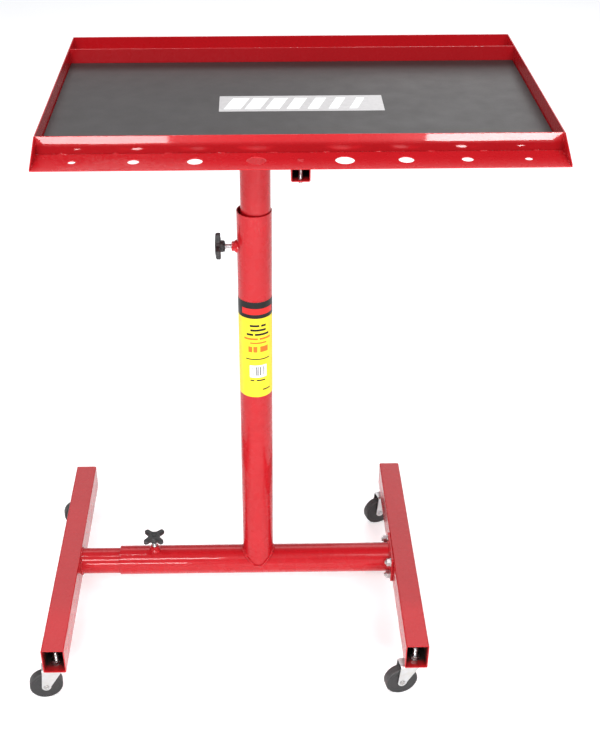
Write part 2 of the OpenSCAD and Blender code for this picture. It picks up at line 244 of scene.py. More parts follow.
def bead(path, radius, closed=True, ripple=2.4, lump=0.12, sides=10, seed=0.0):
    """A weld bead along a path: overlapping ripples and a slightly uneven width.

    The first cross-section is squared off Z, or off X where the path starts upright.
    """
    path = [Vector(p) for p in path]
    count = len(path)
    rings = []
    run = 0.0
    side = Vector((0, 0, 1)) if abs((path[1] - path[0]).normalized().z) < 0.9 else Vector((1, 0, 0))
    for i, p in enumerate(path):
        nxt = path[(i + 1) % count] if closed or i < count - 1 else p
        last = path[i - 1] if closed or i > 0 else p
        tangent = (nxt - last).normalized()
        run += (p - path[i - 1]).length if i else 0
        side = (side - tangent * side.dot(tangent)).normalized()
        up = tangent.cross(side)
        swell = 1 + lump * abs(math.sin(math.pi * run / ripple)) - lump / 2
        swell += 0.22 * noise.noise(Vector((run / 7, seed, 3.1)))
        if not closed:
            swell *= min(1, 0.35 + 4 * min(i, count - 1 - i) / count)
        ring = []
        for k in range(sides):
            a = math.tau * k / sides
            ring.append(p + (side * math.cos(a) + up * math.sin(a)) * radius * swell)
        rings.append(ring)
    return skin(rings, along=closed, caps=not closed)


def thread(diameter, pitch, length, tip=1.0, sides=28):
    """Threaded rod from Z 0 up, with a chamfer at Z 0 and another at its top."""
    depth = 0.54 * pitch
    rings = []
    steps = round(6 * length / pitch)
    for i in range(steps + 1):
        z = length * i / steps
        cut = max(0, tip - min(z, length - z))
        ring = []
        for k in range(sides):
            a = math.tau * k / sides
            wave = 0.5 - 0.5 * math.cos(math.tau * (z / pitch - k / sides))
            r = min(diameter / 2 - depth * wave, diameter / 2 - cut)
            ring.append((r * math.cos(a), r * math.sin(a), z))
        rings.append(ring)
    return skin(rings, caps=True)


def hexagon(across, height, bore=0.0, chamfer_low=True, count=72):
    """Hexagonal nut or bolt head from Z 0 up, with turned corners, and a bore if one is given."""
    face = across * 0.475
    slope = 1.75
    levels = [0, 0.25, 0.6, 1.1, height / 2, height - 1.1, height - 0.6, height - 0.25, height]
    rings = []
    for z in levels:
        near = height - z if not chamfer_low else min(z, height - z)
        ring = []
        for k in range(count):
            a = math.tau * k / count
            off = (a + math.pi / 6) % (math.pi / 3) - math.pi / 6
            r = min(across / 2 / math.cos(off), face + slope * near + 0.2)
            ring.append((r * math.cos(a), r * math.sin(a), z))
        rings.append(ring)
    if not bore:
        return skin(rings, caps=True)
    for r, z in ((bore / 2 + 0.5, height), (bore / 2, height - 0.5), (bore / 2, 0.5), (bore / 2 + 0.5, 0)):
        rings.append(level_ring(r, z, count))
    return skin(rings, along=True)


def turn(axis, degrees):
    return Matrix.Rotation(math.radians(degrees), 4, axis)


def shift(x, y, z):
    return Matrix.Translation((x, y, z))


TO_X = turn("Y", 90)
TO_LEFT = turn("Y", -90)
TO_Y = turn("X", -90)


def piece(name, shape, body, materials, nodes=(), smooth=38, weighted=True):
    """Makes one object from a shape, and ties it to its body and its CAD nodes."""
    mesh = bpy.data.meshes.new(name)
    mesh.from_pydata([p * MM for p in shape.points], [], shape.faces)
    for material in materials:
        mesh.materials.append(material)
    mesh.polygons.foreach_set("material_index", shape.inks)
    work = bmesh.new()
    work.from_mesh(mesh)
    bmesh.ops.remove_doubles(work, verts=work.verts, dist=0.002 * MM)
    bmesh.ops.recalc_face_normals(work, faces=work.faces)
    work.to_mesh(mesh)
    work.free()
    mesh.polygons.foreach_set("use_smooth", [True] * len(mesh.polygons))
    mesh.set_sharp_from_angle(angle=math.radians(smooth))
    made = bpy.data.objects.new(name, mesh)
    bpy.context.scene.collection.objects.link(made)
    if weighted:
        made.modifiers.new("flat faces", "WEIGHTED_NORMAL").keep_sharp = True
    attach(made, body)
    if nodes:
        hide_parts(*nodes)
    return made


def red_piece(name, shape, body, nodes=(), smooth=38):
    """A piece wholly in the plain red paint."""
    piece(name, shape, body, [RED], nodes, smooth)


# ------------ materials

class Surface:
    """A Principled material whose colour, roughness and bump come from noise in object space."""

    def __init__(self, name, metallic=0.0, coat=0.0, coat_roughness=0.05, specular=0.5):
        self.material = bpy.data.materials.new(name)
        self.material.use_nodes = True
        self.tree = self.material.node_tree
        self.shader = self.tree.nodes["Principled BSDF"]
        self.shader.inputs["Metallic"].default_value = metallic
        self.shader.inputs["Coat Weight"].default_value = coat
        self.shader.inputs["Coat Roughness"].default_value = coat_roughness
        self.shader.inputs["Specular IOR Level"].default_value = specular
        self.place = self.tree.nodes.new("ShaderNodeTexCoord").outputs["Object"]
        self.normal = None

    def link(self, output, socket):
        self.tree.links.new(output, socket)

    def node(self, kind, wanted, links, values):
        """Adds a node with these inputs linked and these set, and gives one of its outputs."""
        node = self.tree.nodes.new("ShaderNode" + kind)
        for socket, value in values.items():
            node.inputs[socket].default_value = value
        for socket, output in links.items():
            self.link(output, node.inputs[socket])
        return node.outputs[wanted]

    def grain(self, size_mm, detail=3.0, roughness=0.55):
        """Noise whose lumps are about size_mm across."""
        return self.node("TexNoise", "Fac", {"Vector": self.place}, {
            "Scale": 1 / (size_mm * MM), "Detail": detail, "Roughness": roughness})

    def cells(self, size_mm):
        return self.node("TexVoronoi", "Distance", {"Vector": self.place}, {"Scale": 1 / (size_mm * MM)})

    def spread(self, value, low, high, start=0.3, end=0.7):
        """Maps noise from start..end to low..high."""
        return self.node("MapRange", "Result", {"Value": value}, {
            "From Min": start, "From Max": end, "To Min": low, "To Max": high})

    def math(self, operation, *values):
        node = self.tree.nodes.new("ShaderNodeMath")
        node.operation = operation
        for value, socket in zip(values, node.inputs):
            self.link(value, socket)
        return node.outputs[0]

    def blend(self, factor, first, second):
        """A colour between two, each a triple or another node's colour."""
        node = self.tree.nodes.new("ShaderNodeMix")
        node.data_type = "RGBA"
        self.link(factor, node.inputs["Factor"])
        for value, socket in ((first, node.inputs[6]), (second, node.inputs[7])):
            if isinstance(value, tuple):
                socket.default_value = (*value, 1)
            else:
                self.link(value, socket)
        return node.outputs[2]

    def colour(self, value):
        self.link(value, self.shader.inputs["Base Color"])

    def mottle(self, size_mm, detail, first, second):
        """Colour that drifts between two."""
        self.colour(self.blend(self.spread(self.grain(size_mm, detail), 0, 1), first, second))

    def rough(self, size_mm, detail, low, high):
        self.link(self.spread(self.grain(size_mm, detail), low, high), self.shader.inputs["Roughness"])

    def bump(self, height, depth_mm, strength=1.0):
        """Adds relief. Several calls stack."""
        links = {"Height": height}
        if self.normal:
            links["Normal"] = self.normal
        self.normal = self.node("Bump", "Normal", links, {
            "Strength": strength, "Distance": depth_mm * MM})
        self.link(self.normal, self.shader.inputs["Normal"])


def powder_red(name, wave=0.0):
    """Glossy red powder coat: orange peel, faint clouds of colour, and on sheet a long slow wave."""
    surface = Surface(name, coat=0.38, coat_roughness=0.035, specular=0.10)
    surface.mottle(120, 2, (0.425, 0.009, 0.014), (0.395, 0.008, 0.012))
    surface.rough(18, 4, 0.22, 0.32)
    surface.bump(surface.grain(9, 1.0, 0.4), 0.0015, 0.6)
    if wave:
        surface.bump(surface.grain(75, 0.5), wave, 1.0)
    return surface.material


def shaded_inside_red(name, shaded_within, painted):
    """Red at the mouth of a tube along Y, darkening to near black deeper in: painted shade inside the tube.
    The first distance from the middle, in mm, is where the dark ends, the second where the red is full.
    """
    surface = Surface(name, coat=0.3, coat_roughness=0.08, specular=0.25)
    along = surface.node("SeparateXYZ", "Y", {"Vector": surface.place}, {})
    ragged = surface.spread(surface.grain(9, 3), -5 * MM, 5 * MM)
    depth = surface.math("ADD", surface.math("ABSOLUTE", along), ragged)
    shade_mix = surface.spread(depth, 0, 1, shaded_within * MM, painted * MM)
    # Painted shade: near black deep inside the tube, blending into the red towards its mouth
    surface.colour(surface.blend(shade_mix, (0.022, 0.015, 0.014), (0.50, 0.009, 0.013)))
    surface.rough(8, 3, 0.30, 0.45)
    surface.bump(surface.grain(1.5, 3), 0.02, 0.4)
    return surface.material


def zinc(name, tone=0.74, low=0.24, high=0.42):
    """Bright zinc plate with a faint blue and straw bloom and fine drawn lines."""
    surface = Surface(name, metallic=1.0, specular=0.5)
    blue, straw = (tone, tone * 1.01, tone * 1.04), (tone * 0.9, tone * 0.885, tone * 0.85)
    surface.mottle(9, 3, blue, straw)
    surface.rough(3.5, 4, low, high)
    surface.bump(surface.grain(0.8, 2), 0.01, 0.35)
    return surface.material


def moulded_black(name):
    """Satin black plastic with a fine spark-eroded grain."""
    surface = Surface(name, specular=0.35)
    surface.mottle(6, 3, (0.018, 0.018, 0.019), (0.030, 0.029, 0.030))
    surface.rough(1.6, 3, 0.36, 0.52)
    surface.bump(surface.cells(0.55), 0.02, 0.5)
    return surface.material


def wheel_rubber(name, first, second, rough_low, rough_high):
    """Hard rubber with a fine scuffed grain."""
    surface = Surface(name, specular=0.4)
    surface.mottle(5, 4, first, second)
    surface.rough(2.5, 4, rough_low, rough_high)
    surface.bump(surface.grain(0.7, 3), 0.03, 0.5)
    return surface.material


def mat_rubber(name):
    """Dark rubber sheet: a fine leather grain, and large soft clouds where it was rolled."""
    surface = Surface(name, specular=0.3)
    tone = surface.spread(surface.grain(160, 3), 0, 1)
    speck = surface.spread(surface.grain(1.1, 2), 0, 1, 0.35, 0.75)
    base = surface.blend(tone, (0.019, 0.016, 0.0155), (0.023, 0.020, 0.0195))
    surface.colour(surface.blend(speck, base, (0.030, 0.026, 0.026)))
    surface.rough(30, 4, 0.42, 0.48)
    surface.bump(surface.cells(1.1), 0.05, 0.35)
    surface.bump(surface.grain(0.45, 2), 0.02, 0.3)
    return surface.material


def print_ink(name, first, second, gloss=0.32):
    """Printed vinyl film, with a faint mottle in the ink and dimples in the film."""
    surface = Surface(name, coat=0.1, coat_roughness=0.12, specular=0.12)
    surface.mottle(7, 3, first, second)
    surface.rough(12, 3, gloss, gloss + 0.12)
    surface.bump(surface.grain(4.5, 2), 0.02, 0.3)
    return surface.material


RED = powder_red("powder_coat_red")
RED_SHEET = powder_red("powder_coat_red_sheet", wave=0.10)
# Insides of the feet and the rail: red at the ends, darkening inward as painted shade
FOOT_INSIDE_SHADE = shaded_inside_red("foot_inside_painted_shade", 224, 246)
RAIL_INSIDE_SHADE = shaded_inside_red("rail_inside_painted_shade", 190, 207)
ZINC = zinc("zinc_plate", tone=0.66)
FORK_ZINC = zinc("zinc_plate_pressed", tone=0.54, low=0.32, high=0.46)
# Zinc toned darker as painted shade for the stems and nuts inside the dark feet; the axle rivets share it
STEM_ZINC_SHADED = zinc("zinc_plate_stem_painted_shade", tone=0.38, low=0.20, high=0.34)
STEEL_BALL = zinc("steel_ball", tone=0.70, low=0.08, high=0.16)
BLACK = moulded_black("knob_plastic")
WHEEL_SIDE = wheel_rubber("wheel_side", (0.013, 0.012, 0.0125), (0.020, 0.019, 0.0195), 0.45, 0.60)
# The tread is coloured lighter than the sides as a painted sheen on its rounded face
WHEEL_TREAD_SHEEN = wheel_rubber("wheel_tread_painted_sheen", (0.030, 0.029, 0.029), (0.055, 0.053, 0.053), 0.50, 0.66)
MAT = mat_rubber("mat_rubber")
SILVER_INK = print_ink("ink_silver", (0.42, 0.41, 0.41), (0.48, 0.465, 0.465))
WHITE_INK = print_ink("ink_white", (0.84, 0.86, 0.86), (0.90, 0.91, 0.91))
YELLOW_INK = print_ink("ink_yellow", (0.80, 0.64, 0.030), (0.75, 0.59, 0.026))
BLACK_INK = print_ink("ink_black", (0.008, 0.0075, 0.0075), (0.012, 0.011, 0.011))
RED_INK = print_ink("ink_red", (0.62, 0.020, 0.018), (0.55, 0.018, 0.016))
ORANGE_INK = print_ink("ink_orange", (0.66, 0.15, 0.014), (0.60, 0.13, 0.012))


# ------------ dimensions from the frame

WALL = 1.5
FOOT_WALL = 1.8
WHEEL_GAP = 18.0  # Between a fork's legs
FRONT_LEAN = 4.0  # Degrees that the tray's front wall leans back
post_low, post_high = node_box("outer_post")
post_x = (post_low.x + post_high.x) / 2
post_r = (post_high.x - post_low.x) / 2
cross_low, cross_high = node_box("cross_tube")
cross_r = (cross_high.y - cross_low.y) / 2
cross_z = (cross_high.z + cross_low.z) / 2
pan_low, pan_high = node_box("tray_pan")
end_low, end_high = node_box("left_end")[0], node_box("right_end")[1]
tray_x = (end_low.x + end_high.x) / 2
floor_top = pan_low.z + WALL


# ------------ tray

def folded(section, x, length, y, z, wave, depth, fixed_low):
    """Sheet of this cross-section, given as (Y, Z), along X. It has the slow unevenness of hand
    folding in the Y direction, growing upward from fixed_low."""
    spans = 60
    rings = [[(x + length * k / spans, y + p.x, z + p.y) for p in section] for k in range(spans + 1)]
    shape = skin(rings, caps=True)
    for p in shape.points:
        lift = max(0.0, p.z - fixed_low) / 24
        p.y += depth * lift * noise.noise(Vector((p.x / wave, 2.7, 0.4)))
    return shape


def tray_pan():
    """One sheet folded up along its front and back, with rolled bends and softened edges."""
    depth, height = pan_high.y - pan_low.y, pan_high.z - pan_low.z
    bend, edge = 2.5, 0.45
    w = depth / 2
    section = fillet([
        (-w, height, edge), (-w, 0, bend), (w, 0, bend), (w, height, edge), (w - WALL, height, edge),
        (w - WALL, WALL, bend - WALL), (-w + WALL, WALL, bend - WALL), (-w + WALL, height, edge)], 4)
    length = pan_high.x - pan_low.x
    middle_y = (pan_low.y + pan_high.y) / 2
    shape = folded(section, pan_low.x, length, middle_y, pan_low.z, 130, 0.35, floor_top)
    lean = math.tan(math.radians(FRONT_LEAN))
    for p in shape.points:
        if p.y < middle_y:
            p.y += max(0.0, p.z - floor_top) * lean
    piece("tray_pan_sheet", shape, "tray", [RED_SHEET], ["tray_pan"])


def tray_end(name):
    """End plate, its front corner sloping down past the tray wall to the shelf."""
    low, high = node_box(name)
    slope_y, tip = pan_low.y, low.z + 3
    outline = fillet([(high.y, low.z, 1.2), (high.y, high.z, 1.2), (slope_y, high.z, 4.0),
                      (low.y, tip, 1.6), (low.y, low.z, 1.0)], 4)
    sheet = plate([outline], high.x - low.x, 0.45, 3)
    upright = Matrix(((0, 0, 1, low.x), (1, 0, 0, 0), (0, 1, 0, 0), (0, 0, 0, 1)))
    piece(name + "_plate", sheet.moved(upright), "tray", [RED_SHEET], [name])


def tray_corner_welds():
    """Short beads where the end plates meet the pan, the divider and the shelf."""
    shape = Shape()
    seed = 1.0
    for side, x in ((1, pan_low.x), (-1, pan_high.x)):
        inner = x + side * 0.4
        for y in (pan_low.y + WALL + 0.4, pan_high.y - WALL - 0.4):
            path = [(inner, y, floor_top + 2 + k * 0.6) for k in range(30)]
            shape.add(bead(path, 0.9, closed=False, seed=seed))
            seed += 1
        for start in (8, 34):
            path = [(inner, pan_low.y - start - k * 0.6, floor_top + 0.4) for k in range(16)]
            shape.add(bead(path, 1.1, closed=False, seed=seed))
            seed += 1
        path = [(inner, pan_low.y - 0.5, floor_top + 3 + k * 0.6) for k in range(28)]
        shape.add(bead(path, 1.0, closed=False, seed=seed))
    red_piece("tray_corner_welds", shape, "tray", smooth=70)


def shelf_tacks():
    """Tack welds along the groove between the tray's front wall and the tool shelf."""
    shape = Shape()
    count = 10
    for k in range(count):
        x = pan_low.x + (pan_high.x - pan_low.x) * (k + 0.5) / count
        half = 5 + 3 * noise.noise(Vector((k * 1.7, 0.3, 0.2)))
        path = [(x - half + i * half / 8, pan_low.y - 0.1, floor_top - 0.3) for i in range(17)]
        shape.add(bead(path, 1.15, closed=False, ripple=2.0, seed=k))
    red_piece("shelf_tack_welds", shape, "tray", smooth=70)


def rear_divider():
    """Angle strip whose foot is spot-welded to the trough's floor."""
    low, high = node_box("rear_divider")
    foot, height = high.y - low.y, high.z - low.z
    bend, edge = 2.5, 0.45
    section = fillet([(0, 0, bend), (foot, 0, edge), (foot, WALL, edge), (WALL, WALL, bend - WALL),
                      (WALL, height, edge), (0, height, edge)], 4)
    length = high.x - low.x
    shape = folded(section, low.x, length, low.y, low.z, 170, 0.45, low.z)
    piece("rear_divider_strip", shape, "tray", [RED_SHEET], ["rear_divider"])
    spots = Shape()
    for k in range(7):
        x = low.x + length * (k + 0.5) / 7
        dimple = lathe([(0.01, 0.12), (1.5, 0.14), (2.3, 0.32), (3.0, 0.30), (3.6, 0.0), (3.6, -0.2)],
                       32, False)
        spots.add(dimple, shift(x, low.y + 7.5, low.z + WALL))
    red_piece("divider_spot_welds", spots, "tray")


def tool_shelf():
    """Flat strip with eight holes and the middle bolt's hole, each edge softened by paint."""
    low, high = node_box("tool_shelf")
    middle = (low.y + high.y) / 2
    width, depth = high.x - low.x, high.y - low.y
    outline = rounded_rect(width, depth, 0.3, 2, 24)
    holes = [circle(3.0, 24, True)]
    for mount in frame["record"]["mounts"]:
        if mount["kind"] == "bore":
            x = mount["pos_m"][0] / MM - tray_x
            holes.append(circle(mount["dims"]["r_mm"], 64, True, (x, 0)))
    shape = plate([outline] + holes, high.z - low.z, 0.35, 3)
    piece("tool_shelf_strip", shape.moved(shift(tray_x, middle, low.z)), "tray",
          [RED_SHEET], ["tool_shelf"])


def mat():
    low, high = node_box("mat")
    outline = rounded_rect(high.x - low.x, high.y - low.y, 2.5, 5, 24)
    shape = plate([outline], high.z - low.z, 0.55, 3)
    middle = (low + high) / 2
    piece("mat_sheet", shape.moved(shift(middle.x, middle.y, low.z)), "tray", [MAT], ["mat"])


def flat_patch(corners, z, ink):
    shape = Shape()
    shape.points = [Vector((x, y, z)) for x, y in corners]
    shape.face(range(len(corners)), ink)
    return shape


def mat_panel():
    """Silver print on the mat with a plain run of slanted white bars."""
    low, high = node_box("mat_panel")
    middle = (low + high) / 2
    width, depth = high.x - low.x, high.y - low.y
    film = 0.12
    shape = plate([rounded_rect(width, depth, 0.8, 3)], film, 0.04, 1)
    top = film + 0.015
    margin, bars, slant = 6.5, 7, 13
    tall = depth - 2 * margin - 5
    step = (width - 2 * margin - slant) / bars
    for k in range(bars):
        x = -width / 2 + margin + k * step
        wide = step * (0.80 - 0.07 * k)
        y = -tall / 2
        shape.add(flat_patch([(x, y), (x + wide, y), (x + wide + slant, -y), (x + slant, -y)], top, 1))
    piece("mat_print", shape.moved(shift(middle.x, middle.y, high.z - film * 0.5)), "tray",
          [SILVER_INK, WHITE_INK], ["mat_panel"], weighted=False)


def rails():
    """Square tubes under the tray, the plate on the post and the welds that join them."""
    low, high = node_box("tray_rail")
    size = high.x - low.x
    # Its inner faces take the painted shade of the tube's inside
    tube = box_tube(size, size, WALL, high.y - low.y, 2.2, inside=1)
    place = shift((low.x + high.x) / 2, low.y, (low.z + high.z) / 2) @ TO_Y
    piece("tray_rail_tube", tube.moved(place), "tray", [RED, RAIL_INSIDE_SHADE], ["tray_rail"])
    low, high = node_box("cross_rail")
    tube = box_tube(size, size, WALL, high.x - low.x, 2.2)
    place = shift(low.x, (low.y + high.y) / 2, (low.z + high.z) / 2) @ TO_X
    red_piece("cross_rail_tube", tube.moved(place), "tray", ["cross_rail"])
    joints_x = high.x
    cap_low, cap_high = node_box("post_cap_plate")
    cap = plate([rounded_rect(cap_high.x - cap_low.x, cap_high.y - cap_low.y, 4, 6)],
                cap_high.z - cap_low.z, 0.6, 3)
    middle = (cap_low + cap_high) / 2
    red_piece("post_cap", cap.moved(shift(middle.x, middle.y, cap_low.z)), "tray", ["post_cap_plate"])
    welds = Shape()
    half = size / 2
    for y in (-half - 0.3, half + 0.3):
        path = [(cap_low.x + 4 + k * 0.9, y, cap_high.z + 0.3) for k in range(68)]
        welds.add(bead(path, 1.7, closed=False, seed=y))
    corner = [(p.x, p.y) for p in rounded_rect(size + 0.6, size + 0.6, 2.4, 5, 26)]
    ring = [(joints_x - 0.2, y, (low.z + high.z) / 2 + z) for y, z in corner
            if z < half - 1]
    welds.add(bead(ring, 1.5, closed=False, seed=4))
    red_piece("rail_welds", welds, "tray", smooth=70)


def rail_bolts():
    """Low painted heads on the sheet, and bright threads that show through and below the rails."""
    low, high = node_box("rail_bolts")
    rail = node_middle("tray_rail")
    spots = [(rail.x, node_middle("tool_shelf").y),
             (rail.x, pan_high.y - (pan_high.y - node_box("rear_divider")[0].y) / 2),
             (low.x + 5.5, 0)]
    heads, rods = Shape(), Shape()
    dome = lathe([(0.01, 1.75), (1.6, 1.7), (3.2, 1.45), (4.4, 0.95), (5.1, 0.35), (5.3, -0.2)], 40, False)
    rod = thread(6, 1.0, high.z - low.z - 2, 0.8)
    for x, y in spots:
        heads.add(dome, shift(x, y, floor_top))
        rods.add(rod, shift(x, y, low.z))
    red_piece("rail_bolt_heads", heads, "tray", ["rail_bolts"])
    piece("rail_bolt_threads", rods, "tray", [ZINC], smooth=60)


# ------------ posts and cross tubes

def saddle(angle, radius, tube_radius):
    """Height above the cross tube's axis of the point at this angle on an upright round of radius."""
    y = radius * math.sin(angle)
    return math.sqrt(max(tube_radius ** 2 - y ** 2, 0))


def outer_post():
    """Tube fish-mouthed over the cross tube, with a rounded rim."""
    count = 128
    length = post_high.z - cross_z
    bore_r = post_r - WALL
    rim = fillet([(post_r, 0, 0), (post_r, length, 0.5), (bore_r, length, 0.5), (bore_r, 0, 0)], 3)
    levels = [0, 0.1, 0.3, 0.6, 0.85, 1]
    rings = []

    def ring(radius, height, share):
        points = []
        for k in range(count):
            a = math.tau * k / count
            base = math.hypot(saddle(a, radius, cross_r), 5)
            z = base + (height - base) * share
            points.append((post_x + radius * math.cos(a), radius * math.sin(a), cross_z + z))
        return points

    rings += [ring(post_r, length - 0.6, t) for t in levels]
    rings += [ring(p.x, p.y, 1) for p in rim[1:-1]]
    rings += [ring(bore_r, length - 0.6, t) for t in reversed(levels)]
    red_piece("outer_post_tube", skin(rings, along=True), "base", ["outer_post"])


def post_weld():
    """Bead round the post's foot, lying in the corner between the two tubes."""
    count = 520
    path = []
    for k in range(count):
        a = math.tau * k / count
        r = post_r + 0.3
        z = cross_z + math.hypot(saddle(a, r, cross_r + 0.5), 6)
        path.append((post_x + r * math.cos(a), r * math.sin(a), z))
    red_piece("post_foot_weld", bead(path, 2.3, ripple=3.2, lump=0.26, sides=14), "base",
              ["post_weld"], smooth=80)


def cross_tubes():
    tube = round_tube(cross_r, WALL, cross_high.x - cross_low.x, 0.5)
    place = shift(cross_low.x, 0, cross_z) @ TO_X
    red_piece("cross_tube_outer", tube.moved(place), "base", ["cross_tube"])
    low, high = node_box("inner_cross_tube")
    middle = (low + high) / 2
    tube = round_tube((high.z - low.z) / 2, WALL, high.x - low.x, 0.4)
    place = shift(low.x, 0, middle.z) @ TO_X
    red_piece("cross_tube_inner", tube.moved(place), "left_foot", ["inner_cross_tube"])
    ring = [(low.x + 0.4, p.x, middle.z + p.y) for p in circle((high.z - low.z) / 2 + 0.5, 360)]
    red_piece("left_foot_bead", bead(ring, 1.9, ripple=3.0, lump=0.24, seed=5), "left_foot",
              ["left_foot_weld"], smooth=80)
    flange_low = node_box("cross_flange")[0]
    ring = [(flange_low.x - 0.3, p.x, cross_z + p.y) for p in circle(cross_r + 0.5, 380)]
    red_piece("flange_bead", bead(ring, 1.8, ripple=3.0, lump=0.24, seed=9), "base", smooth=80)


def inner_post():
    low, high = node_box("inner_post")
    tube = round_tube((high.x - low.x) / 2, WALL, high.z - low.z, 0.4)
    middle = (low + high) / 2
    red_piece("inner_post_tube", tube.moved(shift(middle.x, 0, low.z)), "inner_post", ["inner_post"])
    ring = [(middle.x + p.x, p.y, high.z - 0.4) for p in circle((high.x - low.x) / 2 + 0.4, 340)]
    red_piece("post_cap_bead", bead(ring, 1.7, ripple=2.8, seed=12), "inner_post", smooth=80)


def post_label():
    """Printed wrap: a black header with a red bar, then plain rules and blocks on yellow."""
    low, high = node_box("post_label")
    height = high.z - low.z
    half_arc = math.radians(97)
    base_r = post_r + 0.12

    def wrap(u0, u1, v0, v1, lift, ink):
        """A patch of the cylinder. u runs across the wrap from -1 to 1, v up it from 0 to 1."""
        steps = max(2, round(abs(u1 - u0) * 34))
        rings = []
        for v in (v0, v1):
            row = []
            for k in range(steps + 1):
                a = -math.pi / 2 + half_arc * (u0 + (u1 - u0) * k / steps)
                r = base_r + lift
                row.append((post_x + r * math.cos(a), r * math.sin(a), low.z + height * v))
            rings.append(row)
        shape = skin(rings, around=False)
        shape.inks = [ink] * len(shape.faces)
        return shape

    print_lift = 0.035
    shape = wrap(-1, 1, 0, 1, 0, 0)
    shape.add(wrap(-1, 1, 0.835, 1, print_lift, 1))
    shape.add(wrap(-0.50, 0.70, 0.875, 0.935, 2 * print_lift, 2))
    rules = (  # From v0 to v1, the ink, and each mark's u0 and u1
        (0.750, 0.772, 1, ((-0.20, 0.14), (0.20, 0.38))),
        (0.705, 0.727, 1, ((-0.18, 0.38),)), (0.660, 0.682, 1, ((-0.32, -0.08), (-0.02, 0.50))),
        (0.615, 0.635, 4, ((-0.42, 0.08), (0.14, 0.58))), (0.575, 0.590, 4, ((-0.20, 0.40),)),
        (0.485, 0.545, 4, ((-0.26, -0.12), (-0.08, 0.06), (0.16, 0.46))),
        (0.405, 0.417, 1, ((-0.36, 0.52),)), (0.175, 0.190, 1, ((-0.20, -0.06), (0.02, 0.34))),
        (0.070, 0.084, 1, ((0.24, 0.56),)))
    for v0, v1, ink, marks in rules:
        for u0, u1 in marks:
            shape.add(wrap(u0, u1, v0, v1, print_lift, ink))
    shape.add(wrap(-0.22, 0.40, 0.215, 0.345, print_lift, 3))
    for k, width in enumerate((0.030, 0.018, 0.044, 0.026, 0.036, 0.020, 0.040)):
        u = -0.12 + 0.065 * k
        shape.add(wrap(u, u + width, 0.235, 0.330, 2 * print_lift, 1))
    piece("post_label_wrap", shape, "base", [YELLOW_INK, BLACK_INK, RED_INK, WHITE_INK, ORANGE_INK],
          ["post_label"], weighted=False)


# ------------ feet and flange

def feet():
    for node, body in (("left_foot", "left_foot"), ("right_foot", "base")):
        low, high = node_box(node)
        middle = (low + high) / 2
        # Its inner faces take the painted shade of the tube's inside
        tube = box_tube(high.x - low.x, high.z - low.z, FOOT_WALL, high.y - low.y, 2.6, inside=1)
        place = shift(middle.x, low.y, middle.z) @ TO_Y
        piece(node + "_tube", tube.moved(place), body, [RED, FOOT_INSIDE_SHADE], [node])
        # Weld line of the rolled tube, along the inside of its lower wall
        seam = [(middle.x + 5, low.y + 3 + k * 2.5, low.z + 1.9) for k in range(194)]
        line = bead(seam, 0.8, closed=False, ripple=9, lump=0.1, sides=6, seed=low.x)
        red_piece(node + "_seam", line, body, smooth=80)


def flange():
    low, high = node_box("cross_flange")
    middle = (low + high) / 2
    sheet = plate([rounded_rect(high.z - low.z, high.y - low.y, 4, 5)], high.x - low.x, 0.6, 3)
    red_piece("flange_plate", sheet.moved(shift(low.x, 0, middle.z) @ TO_X), "base", ["cross_flange"])
    washer_low, washer_high = node_box("flange_washers")
    bolt_low, bolt_high = node_box("flange_bolts")
    nut_low, nut_high = node_box("flange_nuts")
    spread_y = (washer_high.y - washer_low.y) / 2 - 8
    spread_z = (washer_high.z - washer_low.z) / 2 - 8
    bolts, nuts, washers = Shape(), Shape(), Shape()
    washer = lathe(fillet([(8, 0, 0.3), (8, 1.6, 0.3), (4.3, 1.6, 0.2), (4.3, 0, 0.2)], 2), 56)
    head_x = high.x + FOOT_WALL
    for k, (sy, sz) in enumerate(((-1, -1), (-1, 1), (1, -1), (1, 1))):
        place = shift(0, sy * spread_y, cross_z + sz * spread_z)
        bolts.add(thread(8, 1.25, head_x + 1 - bolt_low.x, 1.0), place @ shift(bolt_low.x, 0, 0) @ TO_X)
        bolts.add(hexagon(13, bolt_high.x - head_x, 0, False),
                  place @ shift(head_x, 0, 0) @ TO_X @ turn("Z", 13 + 29 * k))
        nuts.add(hexagon(13, nut_high.x - nut_low.x, 7.2),
                 place @ shift(nut_low.x, 0, 0) @ TO_X @ turn("Z", 7 + 23 * k))
        washers.add(washer, place @ shift(washer_low.x, 0, 0) @ TO_X)
    for kind, shape in (("bolt", bolts), ("nut", nuts), ("washer", washers)):
        piece(f"flange_{kind}_set", shape, "base", [ZINC], [f"flange_{kind}s"])


# ------------ clamp screws and knobs

KNOB_BASE = 17.8  # Hub's face above the tube
KNOB_LOBE = 4.7
KNOB_HUB = 6.5
KNOB_HEAD = 9.2


def boss(seed):
    """Weld nut on a tube, from 3 mm below its surface, with the weld heaped round it."""
    heap = [(10.6, -3.0), (10.4, -1.0), (9.9, 0.6), (9.0, 2.2), (8.0, 3.6), (7.2, 4.6), (6.4, 5.0)]
    rings = []
    count = 72
    for r, z in heap:
        ring = []
        for k in range(count):
            a = math.tau * k / count
            lump = 0.55 * noise.noise(Vector((2.2 * math.cos(a) + seed, 2.2 * math.sin(a), z / 3)))
            lump += 0.16 * math.sin(k * math.tau * 11 / count + seed)
            ring.append(((r + lump) * math.cos(a), (r + lump) * math.sin(a), z + lump * 0.4))
        rings.append(ring)
    return skin(rings, caps=True).add(hexagon(13, 9, 8.1).moved(shift(0, 0, -1)))


